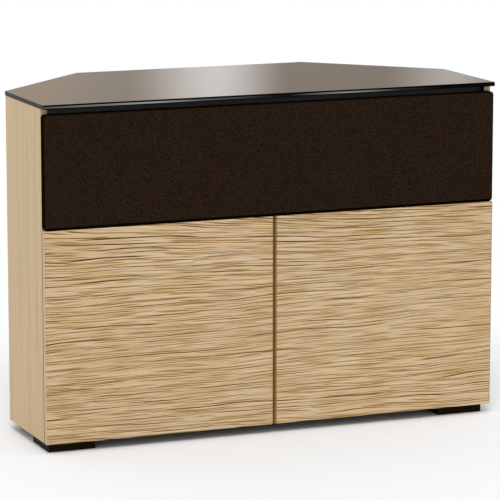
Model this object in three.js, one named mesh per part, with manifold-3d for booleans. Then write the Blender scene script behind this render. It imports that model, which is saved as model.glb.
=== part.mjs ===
// Corner media console with a smoked glass top: a shallow hexagon in plan, with two square sides
// and two angled rear panels, an upper bay behind a removable cloth grille, and a lower bay behind
// two push-to-open doors on concealed hinges.
//
// Millimetres. X points right, Y to the back and Z up. The origin is on the floor, below the
// centre of the glass top.

import * as THREE from 'three';
import { mergeVertices } from 'three/addons/utils/BufferGeometryUtils.js';
import Module from 'manifold-3d';

const wasm = await Module();
wasm.setup();

// Overall
const WIDTH = 1118;
const HEIGHT = 800;
const CARCASS_FRONT = -248;
const CARCASS_BACK = 270;
const SIDE_REAR = 5.6; // where a side panel turns into its angled rear panel
const GLASS_FRONT = -271;
const GLASS_THICKNESS = 10;
const GLASS_OVERHANG = 1;
const GLASS_ARRIS = 0.8;

// Boards
const PANEL = 16; // side, rear and back panels
const BOARD = 18; // top, bottom, middle shelf and divider
const GAP = 0.3; // between pieces that touch
const PAST = 1; // how far a cutting shape runs past the face that it cuts
const FOOT_HEIGHT = 23.4;
const FOOT_WIDTH = 112;
const FRONT_FOOT = { x: -547, y: -244 }; // front left corners of the left feet
const REAR_FOOT = { x: -282, y: 140 };
const MID_SHELF_BOTTOM = 506;

// Front rail
const RAIL_FRONT = -233;
const RAIL_BACK = -213;
const RAIL_HEIGHT = 27.7;
const RAIL_RIBS = 6;
const RAIL_GROOVE = 1.6;

// Doors
const DOOR_BACK = -251;
const DOOR_FRONT = -269;
const DOOR_TOP = 514.5;
const DOOR_SPLIT = 6;
const FACE_DEPTH = 2.7; // the carved front layer

// Adjustable shelves
const SHELF_BOTTOM = 268;
const SHELF_FRONT = -205;
const SHELF_BACK = 225;
const SHELF_CLEARANCE = 2;
const PIN_RADIUS = 2.35;
const PIN_HOLE_RADIUS = 2.65;
const PIN_HOLE_DEPTH = 8.2;
const PIN_HOLE_PITCH = 32;
const PIN_HOLES_PER_ROW = 5;
const PIN_INSERTED = 7.5;
const PIN_REACH = 9;
const PIN_COLLAR = { radius: 3.95, thickness: 1.1 };
const FRONT_PIN_Y = -180;
const SIDE_REAR_PIN_Y = -30;
const DIVIDER_REAR_PIN_Y = 150;

// Concealed hinges: U runs inwards from the outer side face, V backwards from the door's back.
const HINGE_HEIGHTS = { lower: 113, upper: 424.5 };
const LINK_PIVOT = { u: 34, v: 9 }; // link turns on the arm here
const LINK_ELBOW = { u: 18.35, v: -8.41 };
const DOOR_PIVOT = { u: 10, v: -5 }; // door turns on the link here
const CUP_CENTRE_U = 22.5;
const CUP_RADIUS = 17.5;
const CUP_BORE = 16.3;
const CUP_DEPTH = 12;
const CUP_FLOOR = 1;
const POCKET_DEPTH = 13; // in the door, for the cup
const FLANGE_SEAT = 0.2; // flange above the door's back
const FLANGE_RADIUS = 19.5;
const FLANGE_THICKNESS = 1.5;
const FLANGE_SPAN = 58;
const FLANGE_WIDTH = 14;
const CUP_PIN_REACH = 10.4; // each way from the cup's middle, into its wall
const LINK_WIDTH = 9;
const LINK_THICKNESS = 2.5;
const LINK_BOSS = 2.6;
const HINGE_PIN = 1.25;
const HINGE_PIN_HOLE = 1.5;
const EAR_RADIUS = 4.5;
const EAR_THICKNESS = 2.5;
const EAR_GAP = 0.5; // each side of the link
const EAR_ROOT = { u: 25.5, v: 31 };
const PLATE = { thickness: 2, front: 28, back: 78, height: 50 }; // front and back are V
const ARM = { outer: 30.3, front: 24, back: 74 }; // outer is U

// Push latches
const LATCH_X = 40;
const LATCH_WIDTH = 16;
const LATCH_LENGTH = 60;
const LATCH_HEIGHT = 14.7;
const LATCH_FRONT = -246;
const PLUNGER_RADIUS = 4;
const PLUNGER_TIP = -249.2;
const PLUNGER_LENGTH = 21.2;
const PLUNGER_BORE = 4.5;
const PLUNGER_BORE_DEPTH = 24;
const STRIKE_RADIUS = 7;
const STRIKE_THICKNESS = 1.2;

// Grille
const GRILLE_BOTTOM = 516;
const GRILLE_TOP = 777.5;
const GRILLE_BACK = -250;
const CLOTH_THICKNESS = 1.4;
const CLOTH_WRAP = 0.8;
const CLOTH_CORNER = 8;
const CLOTH_RELIEF = 0.6;
const FRAME_BAR = 30;
const FRAME_SETBACK = 1; // each end, under the wrapped cloth
const BRACE_WIDTH = 24;
const BRACE_X = 176;
const STUD_X = 551;
const STUD_HEIGHTS = { lower: 548, upper: 745 };
const STUD_BALL = 2.8;
const STUD_NECK = 1.6;
const STUD_FLANGE = { radius: 5, thickness: 1 };
const STUD_REACH = 8; // from the frame's back to the middle of the ball
const SOCKET_RADIUS = 4.7;
const SOCKET_BORE = 3.2;
const SOCKET_LENGTH = 12;
const SOCKET_FLOOR = 2;
const SOCKET_RECESS = 0.1; // its mouth behind the panel's front edge

// Cable ports and vents in the back panel
const PORT_RADIUS = 30;
const PORT_LIP = 34;
const PORT_LIP_REACH = 1; // behind the back panel
const PORT_BORE = 26.5;
const PORT_X = 150;
const LOWER_PORT_Z = 120;
const UPPER_PORT_Z = 640;
const VENT_X = 150;
const VENT_Z = 400;
const VENT_WIDTH = 100;
const VENT_HEIGHT = 6;
const VENT_PITCH = 16;
const VENTS = 5;

// Worked-out places
const HALF = WIDTH / 2;
const PANEL_TOP = HEIGHT - GLASS_THICKNESS - GAP;
const INSIDE = PANEL + GAP; // how far a board stays in from the outer faces
const MITRE = Math.tan(Math.PI / 8); // a 45 degree turn, shared by the two boards that meet
const MITRE_RELIEF = GAP / 2 / Math.cos(Math.PI / 8);
const MID_SHELF_TOP = MID_SHELF_BOTTOM + BOARD;
const FLOOR_TOP = FOOT_HEIGHT + BOARD;
const LATCH_TOP = MID_SHELF_BOTTOM - GAP;
const PLUNGER_Z = LATCH_TOP - LATCH_HEIGHT / 2;

const FINISHES = {
  oak: { color: 0xc8b28c, roughness: 0.6, metalness: 0 },
  carved_oak: { color: 0xc4a576, roughness: 0.65, metalness: 0 },
  black_board: { color: 0x17120f, roughness: 0.6, metalness: 0 },
  espresso: { color: 0x150d08, roughness: 0.5, metalness: 0 },
  smoked_glass: { color: 0x241d19, roughness: 0.05, metalness: 0 },
  black_aluminium: { color: 0x111111, roughness: 0.4, metalness: 0.8 },
  nickel: { color: 0xb4b4b2, roughness: 0.3, metalness: 1 },
  black_plastic: { color: 0x161616, roughness: 0.5, metalness: 0 },
  cloth: { color: 0x241b15, roughness: 0.95, metalness: 0 },
};

// ---- geometry helpers -------------------------------------------------------------------------

function toSolid(geometry) {
  const bare = geometry.clone();
  bare.deleteAttribute('normal');
  bare.deleteAttribute('uv');
  const merged = mergeVertices(bare, 1e-5);
  return new wasm.Manifold(new wasm.Mesh({
    numProp: 3,
    vertProperties: new Float32Array(merged.attributes.position.array),
    triVerts: new Uint32Array(merged.index.array),
  }));
}

function toGeometry(solid) {
  const mesh = solid.getMesh();
  const geometry = new THREE.BufferGeometry();
  geometry.setAttribute('position', new THREE.BufferAttribute(mesh.vertProperties, 3));
  geometry.setIndex(new THREE.BufferAttribute(mesh.triVerts, 1));
  geometry.computeVertexNormals();
  return geometry;
}

function join(...geometries) {
  return toGeometry(geometries.map(toSolid).reduce((whole, piece) => whole.add(piece)));
}

function cut(geometry, ...tools) {
  return toGeometry(tools.map(toSolid).reduce((rest, tool) => rest.subtract(tool), toSolid(geometry)));
}

function box([x0, x1], [y0, y1], [z0, z1]) {
  const geometry = new THREE.BoxGeometry(x1 - x0, y1 - y0, z1 - z0);
  return geometry.translate((x0 + x1) / 2, (y0 + y1) / 2, (z0 + z1) / 2);
}

// A plan outline raised from one height to another.
function raised(outline, bottom, top) {
  const shape = new THREE.Shape(outline.map(([x, y]) => new THREE.Vector2(x, y)));
  const geometry = new THREE.ExtrudeGeometry(shape, { depth: top - bottom, bevelEnabled: false });
  return geometry.translate(0, 0, bottom);
}

// An upright slab with round corners that reaches as far to the left as to the right.
function roundedSlab(reach, [low, high], radius, [front, back]) {
  const corners = [
    [reach - radius, high - radius],
    [-reach + radius, high - radius],
    [-reach + radius, low + radius],
    [reach - radius, low + radius],
  ];
  const shape = new THREE.Shape();
  corners.forEach(([x, z], quarter) => {
    const start = quarter * Math.PI / 2;
    shape.absarc(x, z, radius, start, start + Math.PI / 2, false);
  });
  const options = { depth: back - front, bevelEnabled: false, curveSegments: 5 };
  const geometry = new THREE.ExtrudeGeometry(shape, options);
  return geometry.rotateX(Math.PI / 2).translate(0, back, 0);
}

// Round bars along each axis, given by the two ends on that axis and the centre across it.
function barX(radius, [x0, x1], [y, z], sides = 10) {
  const geometry = new THREE.CylinderGeometry(radius, radius, x1 - x0, sides);
  return geometry.rotateZ(Math.PI / 2).translate((x0 + x1) / 2, y, z);
}

function barY(radius, [y0, y1], [x, z], sides = 16) {
  const geometry = new THREE.CylinderGeometry(radius, radius, y1 - y0, sides);
  return geometry.translate(x, (y0 + y1) / 2, z);
}

function barZ(radius, [z0, z1], [x, y], sides = 12) {
  const geometry = new THREE.CylinderGeometry(radius, radius, z1 - z0, sides);
  return geometry.rotateX(Math.PI / 2).translate(x, y, (z0 + z1) / 2);
}

// A lathed piece whose axis is Y; the profile is a list of [radius, y].
function turnedY(profile, sides) {
  return new THREE.LatheGeometry(profile.map(([r, y]) => new THREE.Vector2(r, y)), sides);
}

// A flat link with round ends between two plan points.
function strap([x0, y0], [x1, y1], radius, [z0, z1]) {
  const turn = Math.atan2(y1 - y0, x1 - x0);
  const shape = new THREE.Shape();
  shape.absarc(x0, y0, radius, turn + Math.PI / 2, turn + 1.5 * Math.PI, false);
  shape.absarc(x1, y1, radius, turn - Math.PI / 2, turn + Math.PI / 2, false);
  const options = { depth: z1 - z0, bevelEnabled: false, curveSegments: 6 };
  return new THREE.ExtrudeGeometry(shape, options).translate(0, 0, z0);
}

function part(name, geometry, finish) {
  const mesh = new THREE.Mesh(geometry, new THREE.MeshStandardMaterial(FINISHES[finish]));
  mesh.name = name;
  return mesh;
}

// ---- plan of the cabinet ----------------------------------------------------------------------

// The two rear corners on the right, for an outline this far inside the outer faces.
function rearCorners(inset) {
  const chamfer = CARCASS_BACK - SIDE_REAR;
  return {
    side: [HALF - inset, SIDE_REAR - inset * MITRE],
    back: [HALF - chamfer - inset * MITRE, CARCASS_BACK - inset],
  };
}

function hexagon(inset, front) {
  const { side, back } = rearCorners(inset);
  return [
    [-side[0], front],
    [side[0], front],
    side,
    back,
    [-back[0], back[1]],
    [-side[0], side[1]],
  ];
}

function mirrored([x, y]) {
  return [-x, y];
}

function moved([x, y], [dx, dy]) {
  return [x + dx, y + dy];
}

// ---- centre pieces ----------------------------------------------------------------------------

function glassTop() {
  const outline = hexagon(GLASS_ARRIS - GLASS_OVERHANG, GLASS_FRONT + GLASS_ARRIS);
  const shape = new THREE.Shape(outline.map(([x, y]) => new THREE.Vector2(x, y)));
  const geometry = new THREE.ExtrudeGeometry(shape, {
    depth: GLASS_THICKNESS - 2 * GLASS_ARRIS,
    bevelThickness: GLASS_ARRIS,
    bevelSize: GLASS_ARRIS,
    bevelSegments: 1,
  });
  return geometry.translate(0, 0, HEIGHT - GLASS_THICKNESS + GLASS_ARRIS);
}

// The rail's section, with square ribs on its front, drawn in Y and Z and run along X.
function frontTopRail() {
  const length = 2 * (HALF - INSIDE);
  const bottom = PANEL_TOP - RAIL_HEIGHT;
  const pitch = RAIL_HEIGHT / (2 * RAIL_RIBS - 1);
  const shape = new THREE.Shape([new THREE.Vector2(RAIL_BACK, bottom)]);
  shape.lineTo(RAIL_BACK, PANEL_TOP);
  for (let rib = RAIL_RIBS - 1; rib >= 0; rib -= 1) {
    const low = bottom + 2 * rib * pitch;
    shape.lineTo(RAIL_FRONT, low + pitch);
    shape.lineTo(RAIL_FRONT, low);
    if (rib > 0) {
      shape.lineTo(RAIL_FRONT + RAIL_GROOVE, low);
      shape.lineTo(RAIL_FRONT + RAIL_GROOVE, low - pitch);
    }
  }
  const geometry = new THREE.ExtrudeGeometry(shape, { depth: length, bevelEnabled: false });
  // drawn in local X and Y: turn them to Y and Z, and the run to X
  return geometry.rotateX(Math.PI / 2).rotateZ(Math.PI / 2).translate(-length / 2, 0, 0);
}

function divider() {
  const { back } = rearCorners(INSIDE);
  const board = box(
    [-BOARD / 2, BOARD / 2],
    [CARCASS_FRONT, back[1]],
    [FLOOR_TOP + GAP, MID_SHELF_BOTTOM - GAP],
  );
  const faces = [-1, 1].map((way) => [way * BOARD / 2, way * (BOARD / 2 - PIN_HOLE_DEPTH)]);
  const holes = faces.flatMap((ends) => [
    ...pinHoles(ends, FRONT_PIN_Y),
    ...pinHoles(ends, DIVIDER_REAR_PIN_Y),
  ]);
  return cut(board, ...holes);
}

// A row of blind holes, from a board's face (ends[0]) to their floor (ends[1]).
function pinHoles([face, floor], y) {
  const outside = face + Math.sign(face - floor) * PAST;
  const ends = [outside, floor].sort((a, b) => a - b);
  const middle = (PIN_HOLES_PER_ROW - 1) / 2;
  return Array.from({ length: PIN_HOLES_PER_ROW }, (_, row) => {
    const z = shelfPinZ() + (row - middle) * PIN_HOLE_PITCH;
    return barX(PIN_HOLE_RADIUS, ends, [y, z]);
  });
}

function shelfPinZ() {
  return SHELF_BOTTOM - GAP - PIN_RADIUS;
}

function backPanel() {
  const outer = rearCorners(0).back;
  const inner = rearCorners(PANEL).back;
  const half = [moved(outer, [-MITRE_RELIEF, 0]), moved(inner, [-MITRE_RELIEF, 0])];
  const outline = [half[0], mirrored(half[0]), mirrored(half[1]), half[1]];
  const through = [CARCASS_BACK - PANEL - PAST, CARCASS_BACK + PAST];
  const ports = [[-PORT_X, LOWER_PORT_Z], [PORT_X, LOWER_PORT_Z], [0, UPPER_PORT_Z]];
  const holes = ports.map((centre) => barY(PORT_RADIUS, through, centre, 20));
  const vents = [-VENT_X, VENT_X].flatMap((x) => Array.from({ length: VENTS }, (_, row) => {
    const z = VENT_Z + row * VENT_PITCH;
    return box([x - VENT_WIDTH / 2, x + VENT_WIDTH / 2], through, [z, z + VENT_HEIGHT]);
  }));
  return cut(raised(outline, FOOT_HEIGHT, PANEL_TOP), ...holes, ...vents);
}

// A lipped ring that lines a cable port; it is pushed in from behind.
function grommet() {
  const tube = PORT_RADIUS - GAP;
  const front = CARCASS_BACK - PANEL;
  const lipBack = CARCASS_BACK + PORT_LIP_REACH;
  return turnedY([
    [PORT_BORE, front],
    [tube, front],
    [tube, CARCASS_BACK + GAP],
    [PORT_LIP, CARCASS_BACK + GAP],
    [PORT_LIP, lipBack],
    [PORT_BORE, lipBack],
    [PORT_BORE, front],
  ], 20);
}

function placedGrommet(name, x, z) {
  const ring = part(name, grommet(), 'black_plastic');
  ring.position.set(x, 0, z);
  return ring;
}

function grilleFrame() {
  const front = DOOR_FRONT + CLOTH_THICKNESS + CLOTH_RELIEF;
  const low = GRILLE_BOTTOM + CLOTH_WRAP;
  const high = GRILLE_TOP - CLOTH_WRAP;
  const edge = HALF - FRAME_SETBACK;
  const slab = roundedSlab(edge, [low, high], CLOTH_CORNER - CLOTH_WRAP, [front, GRILLE_BACK]);
  const doorways = [
    [-edge + FRAME_BAR, -BRACE_X - BRACE_WIDTH / 2],
    [-BRACE_X + BRACE_WIDTH / 2, BRACE_X - BRACE_WIDTH / 2],
    [BRACE_X + BRACE_WIDTH / 2, edge - FRAME_BAR],
  ];
  const through = [front - PAST, GRILLE_BACK + PAST];
  const openings = doorways.map((xs) => box(xs, through, [low + FRAME_BAR, high - FRAME_BAR]));
  return cut(slab, ...openings);
}

// The cloth's flat front.
function grilleCloth() {
  const depths = [DOOR_FRONT, DOOR_FRONT + CLOTH_THICKNESS];
  return roundedSlab(HALF, [GRILLE_BOTTOM, GRILLE_TOP], CLOTH_CORNER, depths);
}

// ---- pieces of the left half; the right half is its mirror image --------------------------------

function hingePoint({ u, v }) {
  return [-HALF + u, DOOR_BACK + v];
}

function sidePanel() {
  const outer = mirrored(rearCorners(0).side);
  const inner = mirrored(rearCorners(PANEL).side);
  const board = raised([
    [-HALF, CARCASS_FRONT],
    [-HALF + PANEL, CARCASS_FRONT],
    moved(inner, [0, -MITRE_RELIEF]),
    moved(outer, [0, -MITRE_RELIEF]),
  ], FOOT_HEIGHT, PANEL_TOP);
  const face = [-HALF + PANEL, -HALF + PANEL - PIN_HOLE_DEPTH];
  const socketEnds = [CARCASS_FRONT - PAST, CARCASS_FRONT + SOCKET_LENGTH + GAP];
  const sockets = Object.values(STUD_HEIGHTS).map(
    (z) => barY(SOCKET_RADIUS + GAP, socketEnds, [-STUD_X, z], 12),
  );
  return cut(board, ...pinHoles(face, FRONT_PIN_Y), ...pinHoles(face, SIDE_REAR_PIN_Y), ...sockets);
}

function rearPanel() {
  const outer = rearCorners(0);
  const inner = rearCorners(PANEL);
  const step = MITRE_RELIEF * Math.SQRT1_2;
  return raised([
    moved(mirrored(outer.side), [step, step]),
    moved(mirrored(inner.side), [step, step]),
    moved(mirrored(inner.back), [-step, -step]),
    moved(mirrored(outer.back), [-step, -step]),
  ], FOOT_HEIGHT, PANEL_TOP);
}

function adjustableShelf() {
  const { side, back } = rearCorners(PANEL + SHELF_CLEARANCE);
  const inner = -BOARD / 2 - SHELF_CLEARANCE;
  const lost = back[1] - SHELF_BACK; // the angled edge is cut off at the shelf's own back
  return raised([
    [-side[0], SHELF_FRONT],
    [inner, SHELF_FRONT],
    [inner, SHELF_BACK],
    [-back[0] - lost, SHELF_BACK],
    mirrored(side),
  ], SHELF_BOTTOM, SHELF_BOTTOM + PANEL);
}

// A collared pin along X, with its collar against a board's face at X = 0 and its shelf end at +X.
function shelfPin() {
  const collarEnd = GAP + PIN_COLLAR.thickness;
  const profile = [
    [0, -PIN_INSERTED],
    [PIN_RADIUS, -PIN_INSERTED],
    [PIN_RADIUS, GAP],
    [PIN_COLLAR.radius, GAP],
    [PIN_COLLAR.radius, collarEnd],
    [PIN_RADIUS, collarEnd],
    [PIN_RADIUS, PIN_REACH],
    [0, PIN_REACH],
  ];
  return turnedY(profile, 10).rotateZ(-Math.PI / 2);
}

function shelfPins(side) {
  const atPanel = -HALF + PANEL;
  const atDivider = -BOARD / 2;
  const places = [
    ['outer_front', atPanel, FRONT_PIN_Y, 0],
    ['outer_rear', atPanel, SIDE_REAR_PIN_Y, 0],
    ['inner_front', atDivider, FRONT_PIN_Y, Math.PI],
    ['inner_rear', atDivider, DIVIDER_REAR_PIN_Y, Math.PI],
  ];
  return places.map(([place, x, y, turn]) => {
    const pin = part(`${side}_shelf_pin_${place}`, shelfPin(), 'nickel');
    pin.position.set(x, y, shelfPinZ());
    pin.rotation.z = turn;
    return pin;
  });
}

function foot() {
  return box([0, FOOT_WIDTH], [0, FOOT_WIDTH], [0, FOOT_HEIGHT - GAP]);
}

function feet(side) {
  const places = { front: FRONT_FOOT, rear: REAR_FOOT };
  return Object.entries(places).map(([place, { x, y }]) => {
    const block = part(`${side}_${place}_foot`, foot(), 'espresso');
    block.position.set(x, y, 0);
    return block;
  });
}

function doorCore() {
  const board = box(
    [-HALF, -DOOR_SPLIT / 2],
    [DOOR_FRONT + FACE_DEPTH + GAP, DOOR_BACK],
    [FOOT_HEIGHT, DOOR_TOP],
  );
  const ends = [DOOR_BACK - POCKET_DEPTH, DOOR_BACK + PAST];
  const pockets = Object.values(HINGE_HEIGHTS).map(
    (z) => barY(CUP_RADIUS + GAP, ends, [-HALF + CUP_CENTRE_U, z], 20),
  );
  return cut(board, ...pockets);
}

function doorFace() {
  return box(
    [-HALF, -DOOR_SPLIT / 2],
    [DOOR_FRONT, DOOR_FRONT + FACE_DEPTH],
    [FOOT_HEIGHT, DOOR_TOP],
  );
}

function hingeCup() {
  const x = -HALF + CUP_CENTRE_U;
  const flangeEnds = [DOOR_BACK + FLANGE_SEAT, DOOR_BACK + FLANGE_SEAT + FLANGE_THICKNESS];
  const pot = barY(CUP_RADIUS, [DOOR_BACK - CUP_DEPTH, flangeEnds[1]], [x, 0], 20);
  const rim = barY(FLANGE_RADIUS, flangeEnds, [x, 0], 20);
  const wings = box(
    [x - FLANGE_WIDTH / 2, x + FLANGE_WIDTH / 2],
    flangeEnds,
    [-FLANGE_SPAN / 2, FLANGE_SPAN / 2],
  );
  const boreEnds = [DOOR_BACK - CUP_DEPTH + CUP_FLOOR, flangeEnds[1] + PAST];
  const bore = barY(CUP_BORE, boreEnds, [x, 0], 20);
  const pin = barZ(HINGE_PIN, [-CUP_PIN_REACH, CUP_PIN_REACH], hingePoint(DOOR_PIVOT));
  return join(cut(join(pot, rim, wings), bore), pin);
}

function hingeLink() {
  const span = [-LINK_WIDTH / 2, LINK_WIDTH / 2];
  const past = [-LINK_WIDTH, LINK_WIDTH];
  const pivots = [DOOR_PIVOT, LINK_PIVOT].map(hingePoint);
  const elbow = hingePoint(LINK_ELBOW);
  const bars = pivots.map((pivot) => strap(pivot, elbow, LINK_THICKNESS / 2, span));
  const bosses = pivots.map((pivot) => barZ(LINK_BOSS, span, pivot));
  const holes = pivots.map((pivot) => barZ(HINGE_PIN_HOLE, past, pivot));
  return cut(join(...bars, ...bosses), ...holes);
}

// The mounting plate on the side panel, the arm along it and the two ears that hold the link's pin.
function hingeArm() {
  const face = -HALF + INSIDE;
  const plate = box(
    [face, face + PLATE.thickness],
    [DOOR_BACK + PLATE.front, DOOR_BACK + PLATE.back],
    [-PLATE.height / 2, PLATE.height / 2],
  );
  const reach = LINK_WIDTH / 2 + EAR_GAP + EAR_THICKNESS;
  const arm = box(
    [face + PLATE.thickness / 2, -HALF + ARM.outer],
    [DOOR_BACK + ARM.front, DOOR_BACK + ARM.back],
    [-reach, reach],
  );
  const pivot = hingePoint(LINK_PIVOT);
  const root = hingePoint(EAR_ROOT);
  const ears = [-reach, reach - EAR_THICKNESS].map(
    (low) => strap(pivot, root, EAR_RADIUS, [low, low + EAR_THICKNESS]),
  );
  const pin = barZ(HINGE_PIN, [-reach, reach], pivot);
  return join(plate, arm, ...ears, pin);
}

function hinges(side) {
  return Object.entries(HINGE_HEIGHTS).flatMap(([place, z]) => {
    const pieces = [
      part(`${side}_${place}_hinge_cup`, hingeCup(), 'nickel'),
      part(`${side}_${place}_hinge_link`, hingeLink(), 'nickel'),
      part(`${side}_${place}_hinge_arm`, hingeArm(), 'nickel'),
    ];
    pieces.forEach((piece) => piece.position.setZ(z));
    return pieces;
  });
}

function latchHousing() {
  const body = box(
    [-LATCH_X - LATCH_WIDTH / 2, -LATCH_X + LATCH_WIDTH / 2],
    [LATCH_FRONT, LATCH_FRONT + LATCH_LENGTH],
    [LATCH_TOP - LATCH_HEIGHT, LATCH_TOP],
  );
  const ends = [LATCH_FRONT - PAST, LATCH_FRONT + PLUNGER_BORE_DEPTH];
  return cut(body, barY(PLUNGER_BORE, ends, [-LATCH_X, PLUNGER_Z]));
}

function latchPlunger() {
  return barY(PLUNGER_RADIUS, [PLUNGER_TIP, PLUNGER_TIP + PLUNGER_LENGTH], [-LATCH_X, PLUNGER_Z]);
}

function strikeDisc() {
  const back = DOOR_BACK + GAP;
  return barY(STRIKE_RADIUS, [back, back + STRIKE_THICKNESS], [-LATCH_X, PLUNGER_Z]);
}

// A ball on a neck, screwed to the back of the grille's frame.
function grilleStud() {
  const foot = GRILLE_BACK + GAP;
  const centre = GRILLE_BACK + STUD_REACH;
  const start = Math.asin(STUD_NECK / STUD_BALL);
  const steps = 5;
  const ball = Array.from({ length: steps }, (_, step) => {
    const turn = start + (Math.PI - start) * step / steps;
    return [STUD_BALL * Math.sin(turn), centre - STUD_BALL * Math.cos(turn)];
  });
  return turnedY([
    [0, foot],
    [STUD_FLANGE.radius, foot],
    [STUD_FLANGE.radius, foot + STUD_FLANGE.thickness],
    [STUD_NECK, foot + STUD_FLANGE.thickness],
    ...ball,
    [0, centre + STUD_BALL],
  ], 10);
}

function grilleSocket() {
  const front = CARCASS_FRONT + SOCKET_RECESS;
  const back = CARCASS_FRONT + SOCKET_LENGTH;
  return turnedY([
    [0, back - SOCKET_FLOOR],
    [SOCKET_BORE, back - SOCKET_FLOOR],
    [SOCKET_BORE, front],
    [SOCKET_RADIUS, front],
    [SOCKET_RADIUS, back],
    [0, back],
  ], 12);
}

function grilleFixings(side) {
  return Object.entries(STUD_HEIGHTS).flatMap(([place, z]) => {
    const pieces = [
      part(`${side}_${place}_grille_stud`, grilleStud(), 'nickel'),
      part(`${side}_${place}_grille_socket`, grilleSocket(), 'black_plastic'),
    ];
    pieces.forEach((piece) => piece.position.set(-STUD_X, 0, z));
    return pieces;
  });
}

function half(side) {
  const group = new THREE.Group();
  group.add(
    part(`${side}_side_panel`, sidePanel(), 'oak'),
    part(`${side}_rear_panel`, rearPanel(), 'oak'),
    part(`${side}_adjustable_shelf`, adjustableShelf(), 'black_board'),
    ...shelfPins(side),
    ...feet(side),
    part(`${side}_door_core`, doorCore(), 'oak'),
    part(`${side}_door_face`, doorFace(), 'carved_oak'),
    ...hinges(side),
    part(`${side}_latch_housing`, latchHousing(), 'black_plastic'),
    part(`${side}_latch_plunger`, latchPlunger(), 'black_plastic'),
    part(`${side}_strike_disc`, strikeDisc(), 'nickel'),
    ...grilleFixings(side),
    placedGrommet(`${side}_cable_grommet`, -PORT_X, LOWER_PORT_Z),
  );
  return group;
}

// ---- assembly ---------------------------------------------------------------------------------

const console_cabinet = new THREE.Group();
console_cabinet.add(
  part('glass_top', glassTop(), 'smoked_glass'),
  part('front_top_rail', frontTopRail(), 'black_aluminium'),
  part('top_panel', raised(hexagon(INSIDE, RAIL_BACK + GAP), PANEL_TOP - BOARD, PANEL_TOP), 'black_board'),
  part('mid_shelf', raised(hexagon(INSIDE, CARCASS_FRONT), MID_SHELF_BOTTOM, MID_SHELF_TOP), 'black_board'),
  part('bottom_panel', raised(hexagon(INSIDE, CARCASS_FRONT), FOOT_HEIGHT, FLOOR_TOP), 'black_board'),
  part('centre_divider', divider(), 'black_board'),
  part('back_panel', backPanel(), 'oak'),
  part('grille_frame', grilleFrame(), 'black_board'),
  part('grille_cloth', grilleCloth(), 'cloth'),
  placedGrommet('speaker_cable_grommet', 0, UPPER_PORT_Z),
);

const leftHalf = half('left');
const rightHalf = half('right');
rightHalf.scale.x = -1;
console_cabinet.add(leftHalf, rightHalf);

export default console_cabinet;
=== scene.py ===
"""Looks for the corner media console: materials, carved doors, wrapped grille cloth, polished
glass, fasteners and studio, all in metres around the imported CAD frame."""

import math

import bmesh
import bpy
import numpy as np
from mathutils import Matrix, Vector


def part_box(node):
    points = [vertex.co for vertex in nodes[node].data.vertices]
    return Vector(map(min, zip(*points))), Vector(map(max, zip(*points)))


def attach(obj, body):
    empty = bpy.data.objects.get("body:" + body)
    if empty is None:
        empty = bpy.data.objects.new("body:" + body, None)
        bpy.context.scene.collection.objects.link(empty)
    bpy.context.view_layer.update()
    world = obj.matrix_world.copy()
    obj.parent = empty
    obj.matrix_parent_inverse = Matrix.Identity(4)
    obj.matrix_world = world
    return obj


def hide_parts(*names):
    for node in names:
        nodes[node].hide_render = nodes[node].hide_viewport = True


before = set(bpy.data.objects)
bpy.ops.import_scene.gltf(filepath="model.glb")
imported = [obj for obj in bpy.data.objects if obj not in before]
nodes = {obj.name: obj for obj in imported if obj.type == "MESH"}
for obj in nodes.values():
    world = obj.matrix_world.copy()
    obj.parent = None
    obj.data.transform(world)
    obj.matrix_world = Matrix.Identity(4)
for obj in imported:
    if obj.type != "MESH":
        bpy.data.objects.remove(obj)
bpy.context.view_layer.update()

MM = 0.001
SIDES = {"left": -1, "right": 1}
HINGE_PLACES = ("lower", "upper")


# ---- colours ------------------------------------------------------------------------------------


def colour(red, green, blue):
    """An sRGB colour, 0 to 255, as the linear RGBA that the shaders take."""

    def linear(value):
        share = value / 255
        return share / 12.92 if share <= 0.04045 else ((share + 0.055) / 1.055) ** 2.4

    return (linear(red), linear(green), linear(blue), 1.0)


# ---- shader helper ------------------------------------------------------------------------------


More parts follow.
